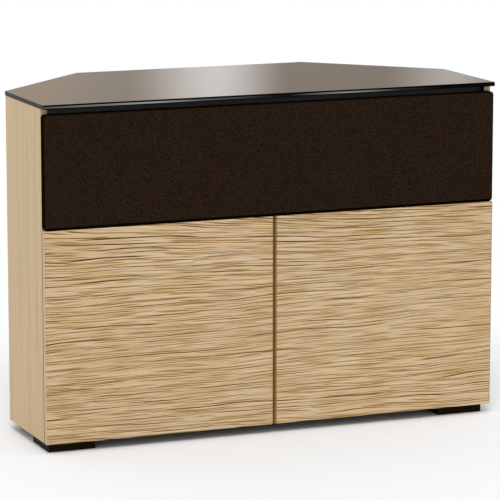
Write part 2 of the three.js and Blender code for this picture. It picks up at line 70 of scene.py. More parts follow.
class Shader:
    """A Principled material whose nodes are added by calls that return the new node."""

    def __init__(self, name, **uniform):
        self.material = bpy.data.materials.new(name)
        self.material.use_nodes = True
        self.tree = self.material.node_tree
        self.bsdf = self.tree.nodes["Principled BSDF"]
        for socket, value in uniform.items():
            self.bsdf.inputs[socket.replace("_", " ")].default_value = value

    def node(self, kind, inputs=None, **settings):
        made = self.tree.nodes.new("ShaderNode" + kind)
        for setting, value in settings.items():
            setattr(made, setting, value)
        for socket, value in (inputs or {}).items():
            if isinstance(value, bpy.types.NodeSocket):
                self.tree.links.new(value, made.inputs[socket])
            else:
                made.inputs[socket].default_value = value
        return made

    def place(self):
        """Object coordinates, which are metres in the row frame on every piece."""
        return self.node("TexCoord").outputs["Object"]

    def scaled(self, scale, offset=(0, 0, 0)):
        """Coordinates multiplied by scale, so that a noise in them is stretched."""
        inputs = {"Vector": self.place(), "Scale": scale, "Location": offset}
        return self.node("Mapping", inputs).outputs["Vector"]

    def noise(self, scale, detail=3, roughness=0.55, offset=(0, 0, 0), distortion=0.0):
        inputs = {
            "Vector": self.scaled(scale, offset),
            "Scale": 1.0,
            "Detail": detail,
            "Roughness": roughness,
            "Distortion": distortion,
        }
        return self.node("TexNoise", inputs).outputs["Fac"]

    def attribute(self, name):
        return self.node("Attribute", attribute_name=name).outputs["Fac"]

    def ramp(self, factor, *stops, interpolation="LINEAR"):
        """A colour ramp; each stop is (position, colour) or (position, grey value)."""
        made = self.node("ValToRGB", {"Fac": factor})
        made.color_ramp.interpolation = interpolation
        elements = made.color_ramp.elements
        while len(elements) < len(stops):
            elements.new(0.5)
        for element, (position, value) in zip(elements, stops):
            element.position = position
            element.color = value if isinstance(value, tuple) else (value, value, value, 1)
        return made.outputs["Color"]

    def mix(self, factor, first, second, blend="MIX"):
        made = self.node("Mix", data_type="RGBA", blend_type=blend)
        for index, value in ((0, factor), (6, first), (7, second)):
            if isinstance(value, bpy.types.NodeSocket):
                self.tree.links.new(value, made.inputs[index])
            else:
                made.inputs[index].default_value = value
        return made.outputs[2]

    def math(self, operation, first, second=0.0):
        made = self.node("Math", {0: first, 1: second}, operation=operation)
        return made.outputs[0]

    def to(self, socket, value):
        self.tree.links.new(value, self.bsdf.inputs[socket])

    def bump(self, height, distance, strength=1.0, normal=None):
        inputs = {"Height": height, "Distance": distance, "Strength": strength}
        if normal is not None:
            inputs["Normal"] = normal
        return self.node("Bump", inputs).outputs["Normal"]


# ---- materials ----------------------------------------------------------------------------------

# The glass: arrises all round, a wider rounding above the front, and the front edge's dark foot, a
# painted shade.
ARRIS = 0.8 * MM
FRONT_ROUND = 3.6 * MM
EDGE_SHADE = 2.4 * MM

# Grain scales run 1 / metre across the grain, and much less along it.
GRAIN_ALONG_Z = (1.0, 1.0, 0.012)
GRAIN_ALONG_X = (0.012, 1.0, 1.0)


BLACK_LAMINATE = ((0.3, colour(22, 20, 19)), (0.7, colour(30, 27, 26)))


def scale_by(vector, amount):
    return tuple(component * amount for component in vector)


def oak_figure(shader):
    """Upright light-oak figure: broad bands, growth stripes, fine lines and short darker pores.

    Sets the roughness and relief that go with the lines and pores, and returns the colour.
    """
    grain = GRAIN_ALONG_Z
    short_grain = (grain[0], grain[1], grain[2] * 3)
    bands = shader.noise(scale_by(grain, 38), detail=2, offset=(3.1, 1.7, 0.4))
    stripes = shader.noise(scale_by(grain, 95), detail=2, offset=(0.6, 5.3, 2.2))
    lines = shader.noise(scale_by(grain, 320), detail=4, roughness=0.7)
    pores = shader.noise(scale_by(short_grain, 900), detail=2)
    broad = shader.ramp(
        bands,
        (0.36, colour(196, 167, 126)),
        (0.5, colour(198, 170, 128)),
        (0.66, colour(201, 174, 136)),
    )
    growth = shader.ramp(stripes, (0.36, 0.94), (0.46, 1.0), (0.54, 0.98), (0.64, 1.05))
    fine = shader.ramp(lines, (0.34, 0.84), (0.5, 0.97), (0.66, 1.05))
    dots = shader.ramp(pores, (0.30, 0.84), (0.40, 1.0))
    figure = broad
    for layer in (growth, fine, dots):
        figure = shader.mix(1.0, figure, layer, "MULTIPLY")
    shader.to("Roughness", shader.ramp(lines, (0.3, 0.62), (0.7, 0.46)))
    shader.to("Normal", shader.bump(shader.mix(0.5, lines, pores), 0.15 * MM, 0.5))
    return figure


def oak_panel():
    """Oak outside and on the edges, black laminate on the faces that look into the cabinet."""
    shader = Shader("oak_panel", Specular_IOR_Level=0.35)
    figure = oak_figure(shader)
    level_place = shader.scaled((1.0, 1.0, 0.0))
    normal = shader.node("NewGeometry").outputs["True Normal"]
    outwards = shader.node("VectorMath", {0: level_place, 1: normal}, operation="DOT_PRODUCT")
    inward = shader.math("LESS_THAN", outwards.outputs["Value"], -0.02)
    laminate = shader.ramp(shader.noise((14, 14, 14)), *BLACK_LAMINATE)
    shader.to("Base Color", shader.mix(inward, figure, laminate))
    return shader.material


def door_core_oak():
    """Veneered core whose two edges at the middle of the front get painted shade to hide the gap."""
    shader = Shader("door_core_oak", Specular_IOR_Level=0.3)
    figure = oak_figure(shader)
    gap_shade_reach = 4.5 * MM
    sideways = shader.node("SeparateXYZ", {"Vector": shader.place()}).outputs["X"]
    inner = shader.math("LESS_THAN", shader.math("ABSOLUTE", sideways), gap_shade_reach)
    # Painted shade: the oak within reach of the middle of the front is darkened for the gap between
    # the doors.
    gap_shaded = shader.mix(1.0, figure, colour(244, 236, 208), "MULTIPLY")
    shader.to("Base Color", shader.mix(inner, figure, gap_shaded))
    return shader.material


def carved_oak():
    """Carved oak from the relief's own attributes: pale ridges, partly painted highlight, ochre
    slopes, and brown grooves, stain with painted shade.
    """
    shader = Shader("carved_oak", Specular_IOR_Level=0.3)
    groove_stain_and_shade = shader.attribute("groove_stain_and_shade")
    ridge_tone_and_highlight = shader.attribute("ridge_tone_and_highlight")
    fine = shader.noise(scale_by(GRAIN_ALONG_X, 420), detail=4, roughness=0.65)
    patch = shader.noise((5, 5, 22), detail=3)
    # Paler towards the top of the relief: the oak's own tone with a painted highlight on the ridges.
    ground = shader.ramp(
        ridge_tone_and_highlight,
        (0.1, colour(180, 143, 84)),
        (0.45, colour(199, 170, 130)),
        (0.9, colour(211, 192, 164)),
    )
    tone = shader.ramp(patch, (0.3, colour(244, 236, 217)), (0.7, colour(255, 253, 250)))
    toned = shader.mix(1.0, ground, tone, "MULTIPLY")
    streak = shader.ramp(fine, (0.34, 0.86), (0.6, 1.04))
    streaked = shader.mix(1.0, toned, streak, "MULTIPLY")
    # The colour of the grooves is brown stain with painted shade, darkest in the deepest cuts.
    stain = shader.ramp(
        groove_stain_and_shade,
        (0.2, colour(160, 118, 38)),
        (0.6, colour(114, 76, 6)),
        (1.0, colour(60, 40, 1)),
    )
    amount = shader.ramp(groove_stain_and_shade, (0.03, 0.0), (0.6, 1.0))
    shader.to("Base Color", shader.mix(amount, streaked, stain))
    shader.to("Roughness", shader.ramp(groove_stain_and_shade, (0.0, 0.5), (1.0, 0.8)))
    shader.to("Normal", shader.bump(fine, 0.2 * MM, 0.5))
    return shader.material


def black_board():
    """Matt black laminate with a fine pebbled print."""
    shader = Shader("black_board", Specular_IOR_Level=0.4)
    pebble = shader.noise((900, 900, 900), detail=2)
    cloud = shader.noise((14, 14, 14))
    shader.to("Base Color", shader.ramp(cloud, *BLACK_LAMINATE))
    shader.to("Roughness", shader.ramp(pebble, (0.3, 0.5), (0.7, 0.68)))
    shader.to("Normal", shader.bump(pebble, 0.1 * MM, 0.5))
    return shader.material


def espresso_wood():
    shader = Shader("espresso_wood", Specular_IOR_Level=0.06)
    lines = shader.noise(scale_by(GRAIN_ALONG_X, 260), detail=4, roughness=0.65)
    shader.to("Base Color", shader.ramp(lines, (0.35, colour(17, 9, 2)), (0.65, colour(30, 18, 7))))
    shader.to("Roughness", shader.ramp(lines, (0.3, 0.6), (0.7, 0.48)))
    shader.to("Normal", shader.bump(lines, 0.15 * MM, 0.5))
    return shader.material


def smoked_glass():
    """The polished faces: almost black brown, seen mostly by what they reflect."""
    shader = Shader("smoked_glass", IOR=1.52, Specular_Tint=(1.0, 0.95, 0.88, 1.0))
    film = shader.noise((6, 6, 6), detail=4, roughness=0.6)
    browns = ((0.3, colour(24, 19, 16)), (0.7, colour(30, 24, 20)))
    shader.to("Base Color", shader.ramp(film, *browns))
    shader.to("Roughness", shader.ramp(film, (0.3, 0.012), (0.7, 0.03)))
    return shader.material


def painted_dark_reflection():
    """A black band with no reflection on the rounding above the front edge: a painted dark
    reflection.
    """
    shader = Shader("painted_dark_reflection", Specular_IOR_Level=0.0)
    dust = shader.noise((700, 700, 700), detail=2)
    shader.to("Base Color", shader.ramp(dust, (0.3, colour(4, 4, 4)), (0.7, colour(10, 10, 10))))
    shader.to("Roughness", shader.ramp(dust, (0.3, 0.5), (0.7, 0.7)))
    return shader.material


def glass_edge():
    """The ground edge: grey on the sides; on the front, two long pale bands of painted reflection.
    """
    shader = Shader("glass_edge", Specular_IOR_Level=0.02)
    place = shader.node("SeparateXYZ", {"Vector": shader.place()}).outputs
    normal = shader.node("NewGeometry").outputs["True Normal"]
    facing = shader.node("SeparateXYZ", {"Vector": normal}).outputs["Y"]
    front = shader.math("LESS_THAN", facing, -0.6)
    glass_low, glass_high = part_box("glass_top")
    ends = {"From Min": glass_low.x, "From Max": glass_high.x}
    share = shader.node("MapRange", {"Value": place["X"], **ends})
    # Painted reflection: a soft light's glow along the front edge, in two long pale bands, streaked
    # by the noise below.
    reflection_flares = shader.ramp(
        share.outputs["Result"],
        (0.0, 0.085),
        (0.10, 0.16),
        (0.22, 0.26),
        (0.36, 0.075),
        (0.52, 0.004),
        (0.67, 0.19),
        (0.80, 0.02),
        (0.88, 0.001),
        interpolation="EASE",
    )
    ground = shader.noise((60, 60, 900), detail=3)
    streaks = shader.noise((1.5, 1.5, 260), detail=2)
    side = shader.ramp(ground, (0.3, 0.06), (0.7, 0.072))
    fleck = shader.ramp(streaks, (0.35, 0.6), (0.6, 1.1))
    above = shader.math("GREATER_THAN", place["Z"], glass_low.z + EDGE_SHADE)
    # Painted shade: the lowest EDGE_SHADE of the front edge is near black.
    foot = shader.ramp(ground, (0.3, 0.002), (0.7, 0.004))
    flare_reflection = shader.mix(1.0, reflection_flares, fleck, "MULTIPLY")
    shaded = shader.mix(above, foot, flare_reflection)
    shader.to("Base Color", shader.mix(front, side, shaded))
    shader.to("Roughness", shader.ramp(ground, (0.3, 0.5), (0.7, 0.65)))
    return shader.material


def black_aluminium():
    """Anodised ribs with painted light and shade: darker towards the top, under the glass, lighter
    lower down.
    """
    shader = Shader("black_aluminium", Metallic=0.3)
    brushed = shader.noise((8, 700, 700), detail=3)
    low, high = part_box("front_top_rail")
    height = shader.node("SeparateXYZ", {"Vector": shader.place()}).outputs["Z"]
    share = shader.node("MapRange", {"Value": height, "From Min": low.z, "From Max": high.z})
    greys = ((0.35, colour(102, 102, 102)), (0.75, colour(27, 27, 28)))
    # Painted shade: the ribs go darker towards the top, under the glass, and lighter towards the
    # bottom.
    painted_shade_by_height = shader.ramp(share.outputs["Result"], *greys)
    grain = shader.ramp(brushed, (0.3, 0.72), (0.7, 1.25))
    shader.to("Base Color", shader.mix(1.0, painted_shade_by_height, grain, "MULTIPLY"))
    shader.to("Roughness", shader.ramp(brushed, (0.3, 0.32), (0.7, 0.46)))
    shader.to("Normal", shader.bump(brushed, 0.05 * MM, 0.4))
    return shader.material


def nickel():
    shader = Shader("nickel", Metallic=1.0)
    stain = shader.noise((90, 90, 90), detail=4)
    scratch = shader.noise((2500, 300, 2500), detail=2)
    greys = ((0.3, colour(176, 173, 168)), (0.7, colour(206, 204, 199)))
    shader.to("Base Color", shader.ramp(stain, *greys))
    shader.to("Roughness", shader.ramp(stain, (0.3, 0.3), (0.7, 0.42)))
    shader.to("Normal", shader.bump(scratch, 0.02 * MM, 0.4))
    return shader.material


def black_plastic():
    shader = Shader("black_plastic", Specular_IOR_Level=0.5)
    spark = shader.noise((1800, 1800, 1800), detail=1)
    blacks = ((0.3, colour(20, 20, 21)), (0.7, colour(28, 28, 29)))
    shader.to("Base Color", shader.ramp(spark, *blacks))
    shader.to("Roughness", shader.ramp(spark, (0.3, 0.42), (0.7, 0.58)))
    shader.to("Normal", shader.bump(spark, 0.06 * MM, 0.6))
    return shader.material


def grille_fabric():
    """Open acoustic weave: crossed threads with a soft mottle of warmer and cooler brown."""
    shader = Shader("grille_fabric", Specular_IOR_Level=0.0)
    thread_pitch = 0.9 * MM
    turns = (math.tau / thread_pitch,) * 3
    around = shader.node("VectorMath", {0: shader.place(), 1: turns}, operation="MULTIPLY")
    axes = shader.node("SeparateXYZ", {"Vector": around.outputs[0]}).outputs
    warp = shader.math("SINE", axes["X"])
    weft = shader.math("SINE", axes["Z"])
    crossed = shader.math("MULTIPLY", warp, weft)
    lumps = shader.noise((700, 700, 700), detail=2)
    height = shader.math("ADD", shader.math("MULTIPLY", crossed, 0.5), lumps)
    mottle = shader.noise((11, 11, 11), detail=4, roughness=0.6)
    tone = shader.ramp(
        mottle,
        (0.32, colour(43, 30, 21)),
        (0.5, colour(42, 31, 22)),
        (0.68, colour(41, 32, 23)),
    )
    fleck = shader.ramp(height, (0.15, 0.4), (0.9, 1.2))
    slub = shader.ramp(shader.noise((330, 330, 330)), (0.34, 0.42), (0.66, 1.65))
    woven = shader.mix(1.0, shader.mix(1.0, tone, fleck, "MULTIPLY"), slub, "MULTIPLY")
    # The darkened copy of the weave: darker where the cloth bends back, and painted shade along the
    # bottom edge.
    shaded = shader.mix(1.0, woven, (0.16, 0.10, 0.06, 1), "MULTIPLY")
    shader.to("Base Color", shader.mix(shader.attribute("bent"), woven, shaded))
    shader.to("Roughness", shader.ramp(height, (0.0, 0.98), (1.0, 0.86)))
    shader.to("Normal", shader.bump(height, 0.25 * MM, 0.6))
    return shader.material


def black_pile():
    """Short black flock, which takes light on its tips only."""
    shader = Shader("black_pile", Roughness=0.95, Specular_IOR_Level=0.0, Sheen_Weight=0.05)
    tips = shader.noise((2600, 2600, 2600), detail=1)
    shader.to("Base Color", shader.ramp(tips, (0.35, colour(8, 7, 6)), (0.65, colour(26, 23, 20))))
    shader.to("Normal", shader.bump(tips, 0.15 * MM, 0.8))
    return shader.material


def clear_silicone():
    shader = Shader("clear_silicone", IOR=1.41, Specular_IOR_Level=0.5)
    haze = shader.noise((600, 600, 600), detail=2)
    greys = ((0.3, colour(196, 198, 198)), (0.7, colour(214, 216, 215)))
    shader.to("Base Color", shader.ramp(haze, *greys))
    shader.to("Roughness", shader.ramp(haze, (0.3, 0.2), (0.7, 0.35)))
    return shader.material


MATERIALS = {
    "oak_panel": oak_panel(),
    "door_core_oak": door_core_oak(),
    "carved_oak": carved_oak(),
    "black_board": black_board(),
    "espresso_wood": espresso_wood(),
    "smoked_glass": smoked_glass(),
    "glass_edge": glass_edge(),
    "painted_dark_reflection": painted_dark_reflection(),
    "black_aluminium": black_aluminium(),
    "nickel": nickel(),
    "black_plastic": black_plastic(),
    "grille_fabric": grille_fabric(),
    "black_pile": black_pile(),
    "clear_silicone": clear_silicone(),
}


# ---- studio -------------------------------------------------------------------------------------


CAMERA_PLACE = (-2.714, -6.773, 1.710)
CAMERA_YAW = math.radians(22.18)
CAMERA_PITCH = math.radians(10.25)
SENSOR_WIDTH = 36
FOCAL_LENGTH = 223.2

WORLD_GLOW = 0.78
KEY_GLOW = 1.25


def make_camera():
    """A long lens from the front left, looking down by about ten degrees."""
    data = bpy.data.cameras.new("camera")
    data.sensor_width = SENSOR_WIDTH
    data.lens = FOCAL_LENGTH
    data.clip_end = 200
    camera = bpy.data.objects.new("camera", data)
    bpy.context.scene.collection.objects.link(camera)
    camera.location = CAMERA_PLACE
    camera.rotation_euler = (math.pi / 2 - CAMERA_PITCH, 0, -CAMERA_YAW)
    bpy.context.scene.camera = camera


def make_world():
    """Even light from all round."""
    world = bpy.data.worlds.new("studio")
    world.use_nodes = True
    background = world.node_tree.nodes["Background"]
    background.inputs["Color"].default_value = (0.99, 1.0, 1.012, 1.0)
    background.inputs["Strength"].default_value = WORLD_GLOW
    bpy.context.scene.world = world
    bpy.context.scene.view_settings.view_transform = "Standard"


def make_key():
    """One broad soft light from the upper front left, far enough away to be even over the floor."""
    data = bpy.data.lights.new("key", "SUN")
    data.energy = KEY_GLOW
    data.angle = math.radians(22)
    light = bpy.data.objects.new("key", data)
    bpy.context.scene.collection.objects.link(light)
    leftwards, upwards = math.radians(25), math.radians(52)
    source = Vector((-math.sin(leftwards), -math.cos(leftwards), math.tan(upwards)))
    light.rotation_euler = source.to_track_quat("Z", "Y").to_euler()


def make_floor():
    bpy.ops.mesh.primitive_plane_add(size=120)
    floor = bpy.context.object
    floor.name = "floor"
    shader = Shader("floor_white", Roughness=0.9, Specular_IOR_Level=0.0)
    paint = shader.noise((3, 3, 3), detail=2)
    whites = ((0.3, (0.915, 0.93, 0.95, 1)), (0.7, (0.92, 0.935, 0.955, 1)))
    shader.to("Base Color", shader.ramp(paint, *whites))
    floor.data.materials.append(shader.material)


def make_softbox():
    """A hanging softbox behind the cabinet: it is seen only mirrored in the glass top."""
    bpy.ops.mesh.primitive_plane_add(size=1)
    card = bpy.context.object
    card.name = "softbox"
    away, height = 4.0, 1.7
    card.location = (away * math.sin(CAMERA_YAW), away * math.cos(CAMERA_YAW), height)
    card.rotation_euler = (math.pi / 2, 0, -CAMERA_YAW)
    card.scale = (5.0, 1.4, 1.0)
    card.visible_camera = False
    card.visible_diffuse = False
    card.visible_shadow = False
    shader = Shader("softbox_cloth", Roughness=1.0)
    across = shader.node("SeparateXYZ", {"Vector": shader.place()}).outputs["X"]
    share = shader.node("MapRange", {"Value": across, "From Min": -0.2, "From Max": 0.2})
    glow = shader.ramp(
        share.outputs["Result"],
        (0.12, (0.62, 0.51, 0.40, 1)),
        (0.29, (0.52, 0.44, 0.37, 1)),
        (0.46, (1.16, 1.09, 1.05, 1)),
        (0.60, (0.43, 0.36, 0.30, 1)),
        (0.76, (0.42, 0.35, 0.29, 1)),
        (0.90, (0.80, 0.74, 0.68, 1)),
        (0.96, (0.62, 0.56, 0.51, 1)),
        interpolation="EASE",
    )
    shader.to("Emission Color", glow)
    shader.bsdf.inputs["Emission Strength"].default_value = 1.0
    shader.bsdf.inputs["Base Color"].default_value = (0, 0, 0, 1)
    card.data.materials.append(shader.material)


# ---- piece helpers ------------------------------------------------------------------------------


def new_piece(name, mesh, body, *materials):
    """A piece that rides on body and takes its finish from the first material's slot, if any."""
    piece = bpy.data.objects.new(name, mesh)
    bpy.context.scene.collection.objects.link(piece)
    for material in materials:
        mesh.materials.append(MATERIALS[material])
    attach(piece, body)
    return piece


def mesh_from(bm, name, smooth=False):
    """The finished mesh of bm, which is freed."""
    bmesh.ops.recalc_face_normals(bm, faces=bm.faces)
    mesh = bpy.data.meshes.new(name)
    for face in bm.faces:
        face.smooth = smooth
    bm.to_mesh(mesh)
    bm.free()
    return mesh


def bridge_rings(bm, rings):
    """Quads between each ring of vertices and the next; every ring is closed and equally long."""
    for low, high in zip(rings, rings[1:]):
        for index in range(len(low)):
            after = (index + 1) % len(low)
            bm.faces.new((low[index], low[after], high[after], high[index]))


def turned_rings(bm, profile, steps):
    """Rings of vertices round Z, one for each (radius, height) of the profile."""
    turns = [step / steps * math.tau for step in range(steps)]
    return [
        [bm.verts.new((radius * math.cos(t), radius * math.sin(t), height)) for t in turns]
        for radius, height in profile
    ]


MERGE_WITHIN = 0.01 * MM
SHARP_FROM = math.radians(35)


def finish_node(name, material, width, segments=2):
    """Gives a CAD node its material, and rounds its sharp edges without touching its mesh."""
    node = nodes[name]
    node.data.materials.clear()
    node.data.materials.append(MATERIALS[material])
    weld = node.modifiers.new("weld", "WELD")
    weld.merge_threshold = MERGE_WITHIN
    bevel = node.modifiers.new("edges", "BEVEL")
    bevel.width = width
    bevel.segments = segments
    bevel.limit_method = "ANGLE"
    bevel.angle_limit = SHARP_FROM
    node.modifiers.new("level", "WEIGHTED_NORMAL").weight = 80
    for polygon in node.data.polygons:
        polygon.use_smooth = True


# ---- carved doors -------------------------------------------------------------------------------

RELIEF_DEPTH = 2.6 * MM
RELIEF_STEP_X = 4.4 * MM
RELIEF_STEP_Z = 0.7 * MM
EASED_EDGE = 3.0 * MM

# The carved lines, from the boldest and longest to the finest; lengths in mm, the rest as shares.
LINE_FAMILIES = (
    {"pitch": 23.0, "length": 170, "waver": 4.2, "half_width": 0.85, "depth": 0.54, "darkness": 1.0},
    {"pitch": 9.8, "length": 120, "waver": 3.6, "half_width": 0.72, "depth": 0.34, "darkness": 0.6},
    {"pitch": 6.8, "length": 90, "waver": 3.0, "half_width": 0.7, "depth": 0.44, "darkness": 0.62},
    {"pitch": 4.9, "length": 70, "waver": 2.6, "half_width": 0.65, "depth": 0.42, "darkness": 0.56},
)
BOLD_FAMILIES = 3

BEND_SEED = 11
GROUND_SEED = 40
SWELL_SEED = 41
RIPPLE_SEED = 42
FIRST_LINE_SEED = 51


def lattice_noise(x, y, seed):
    """Smooth gradient noise, about -1 to 1, at the points x, y of a unit lattice."""
    size = 256
    turns = np.random.default_rng(seed).uniform(0, math.tau, (size, size))
    cell_x, cell_y = np.floor(x).astype(int), np.floor(y).astype(int)
    part_x, part_y = x - cell_x, y - cell_y

    def corner(dx, dy):
        turn = turns[(cell_x + dx) % size, (cell_y + dy) % size]
        return np.cos(turn) * (part_x - dx) + np.sin(turn) * (part_y - dy)

    ease_x = part_x**3 * (part_x * (part_x * 6 - 15) + 10)
    ease_y = part_y**3 * (part_y * (part_y * 6 - 15) + 10)
    low = corner(0, 0) * (1 - ease_x) + corner(1, 0) * ease_x
    high = corner(0, 1) * (1 - ease_x) + corner(1, 1) * ease_x
    return (low * (1 - ease_y) + high * ease_y) * 1.5


def across_grain(x, z, waver, seed):
    """Distance in mm across the carved lines: constant along a line, which leans and wavers.

    The lines rise a little to the right just below half height, and fall above and below that.
    """
    lean = 0.014 - 0.072 * ((z - 215) / 240) ** 2
    drift = lean * 420 * np.tanh(x / 420)
    bend = lattice_noise(x / 260 + 31, z / 80 + 7, BEND_SEED) * 5.0
    wander = lattice_noise(x / 150 + seed, z / 20, seed) * waver
    return z - drift - bend - wander


def wandering_lines(x, z, pitch, length, waver, seed):
    """Distance in mm from the nearest line of one family, and how fully that line is cut here."""
    phase = across_grain(x, z, waver, seed) / pitch + 100
    number = np.floor(phase).astype(int)
    shift = np.random.default_rng(seed).uniform(-0.28, 0.28, 400)[number % 400]
    distance = (phase - number - 0.5 - shift) * pitch
    strength = lattice_noise(x / length + number * 0.37, number + 0.5, seed + 1)
    taper = np.clip(0.5 + 1.6 * strength, 0, 1)
    return distance, taper * taper * (3 - 2 * taper)


def carving(x, z):
    """Height (0 deep to 1 at the top), darkness of the grooves (stain and painted shade) and
    paleness of the ridges (partly painted highlight) at x, z in mm.
    """
    across = across_grain(x, z, 2.0, GROUND_SEED)
    swell = np.abs(lattice_noise(x / 240, across / 6.5 + 60, SWELL_SEED)) ** 0.8
    ripple = np.abs(lattice_noise(x / 130, across / 3.2 + 80, RIPPLE_SEED)) ** 0.8
    height = 0.62 + 0.16 * swell + 0.28 * ripple
    groove_stain_and_shade = np.zeros_like(height)
    # The bold lines are cut more lightly across the middle of a door, and towards the right.
    emphasis = 0.9 + 0.32 * ((z - 240) / 220) ** 2 - 0.06 * x / 280
    for number, line in enumerate(LINE_FAMILIES):
        seed = FIRST_LINE_SEED + 2 * number
        distance, cut = wandering_lines(x, z, line["pitch"], line["length"], line["waver"], seed)
        width = line["half_width"] * (0.6 + 0.5 * cut)
        if number < BOLD_FAMILIES:
            cut = cut * emphasis
        lip = np.exp(-(((distance + 2.2 * width) / width) ** 2))
        height -= line["depth"] * cut * (np.exp(-((distance / width) ** 2)) - 0.36 * lip)
        # Darkness of the grooves: brown stain with painted shade, strongest at the middle of each
        # line.
        stain = line["darkness"] * cut * np.exp(-((distance / (0.8 * width)) ** 2))
        groove_stain_and_shade = np.maximum(groove_stain_and_shade, stain)
    height = np.clip(height, 0, 1)
    ridge_tone_and_highlight = np.clip((height - 0.35) / 0.6, 0, 1)
    return height, groove_stain_and_shade, ridge_tone_and_highlight


def closed_relief(name, front, back_y):
    """A mesh of a grid of points, rows by columns, closed by walls and one face at back_y.

    Also returns the points at the back, which come after the grid's in the mesh.
    """
    rows, columns = front.shape[:2]
    points = front.reshape(-1, 3)
    index = np.arange(rows * columns).reshape(rows, columns)
    corners = [index[:-1, :-1], index[:-1, 1:], index[1:, 1:], index[1:, :-1]]
    quads = np.stack(corners, -1).reshape(-1, 4)
    rim = np.concatenate([index[0, :-1], index[:-1, -1], index[-1, :0:-1], index[:0:-1, 0]])
    behind = points[rim].copy()
    behind[:, 1] = back_y
    start = len(points)
    after = np.roll(np.arange(len(rim)), -1)
    walls = np.stack([rim, start + np.arange(len(rim)), start + after, rim[after]], -1)
    back = list(range(start + len(rim) - 1, start - 1, -1))

    mesh = bpy.data.meshes.new(name)
    every_point = np.concatenate([points, behind])
    mesh.from_pydata(every_point.tolist(), [], quads.tolist() + walls.tolist() + [back])
    smooth = [True] * len(quads) + [False] * (len(walls) + 1)
    mesh.polygons.foreach_set("use_smooth", smooth)
    mesh.update()
    return mesh, behind


def carved_front(side):
    """The door's carved layer, eased along its edge at the middle of the front, where painted shade
    darkens that edge for the gap between the doors.
    """
    low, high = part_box(f"{side}_door_face")
    back_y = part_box(f"{side}_door_core")[0].y
    columns = round((high.x - low.x) / RELIEF_STEP_X) + 1
    rows = round((high.z - low.z) / RELIEF_STEP_Z) + 1
    x, z = np.meshgrid(np.linspace(low.x, high.x, columns), np.linspace(low.z, high.z, rows))
    height, groove_stain_and_shade, ridge_tone_and_highlight = carving(x / MM, z / MM)
    to_middle = np.abs(x) - min(abs(low.x), abs(high.x))
    eased = np.clip(1 - to_middle / EASED_EDGE, 0, 1)
    height *= 1 - 0.5 * eased**2
    # Painted shade on the eased edge at the middle of the front, for the gap between the doors.
    groove_stain_and_shade = np.maximum(groove_stain_and_shade, 0.56 * (eased > 0))
    y = low.y + RELIEF_DEPTH * (1 - height)

    name = f"{side}_carved_front"
    mesh, behind = closed_relief(name, np.stack([x, y, z], -1), back_y)
    inner = np.abs(behind[:, 0]) < 10 * MM
    # The walls near the middle get painted shade too: darker and less pale than the other walls.
    stain_and_light_marks = {"groove_stain_and_shade": (groove_stain_and_shade, 0.3 * inner), "ridge_tone_and_highlight": (ridge_tone_and_highlight, 1.0 - 0.5 * inner)}
    for stain, (in_front, at_back) in stain_and_light_marks.items():
        values = np.concatenate([in_front.ravel(), at_back]).astype(np.float32)
        mesh.attributes.new(stain, "FLOAT", "POINT").data.foreach_set("value", values)
    piece = new_piece(name, mesh, f"{side}_door", "carved_oak")
    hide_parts(f"{side}_door_face")


# ---- grille cloth -------------------------------------------------------------------------------

CLOTH_THICKNESS = 0.7 * MM
CLOTH_CORNER = 8 * MM
CLOTH_EDGE = 3.6 * MM
BOTTOM_SHADE = 5.0 * MM
HEM = 15 * MM
HEM_ROLL = 1 * MM
HEM_AIR = 0.1 * MM


def quarter_turn(steps):
    """The angles of a quarter turn in equal steps."""
    return [step / steps * math.pi / 2 for step in range(steps + 1)]


def rounded_ring(half_x, half_z, radius, middle_z, steps=8):
    """Points round a rectangle with round corners, centred on x = 0."""
    points = []
    for quarter, (way_x, way_z) in enumerate(((1, 1), (-1, 1), (-1, -1), (1, -1))):
        for step in range(steps + 1):
            turn = (quarter + step / steps) * math.pi / 2
            x = way_x * (half_x - radius) + radius * math.cos(turn)
            z = way_z * (half_z - radius) + radius * math.sin(turn)
            points.append((x, middle_z + z))
    return points


def shade_bends(mesh, low):
    """Stores how far the cloth is bent back from the front, which its material darkens; the bottom
    edge is set full, a painted shade.
    """
    full_depth, most = 0.6 * MM, 0.8
    bent = mesh.attributes.new("bent", "FLOAT", "POINT")
    for vertex, value in zip(mesh.vertices, bent.data):
        share = min(1.0, max(0.0, (vertex.co.y - low.y) / full_depth))
        # Painted shade: the cloth along the bottom edge gets full darkness, whatever its bend.
        at_bottom = vertex.co.z < low.z + BOTTOM_SHADE + 0.1 * MM
        value.value = 1.0 if at_bottom else most * share


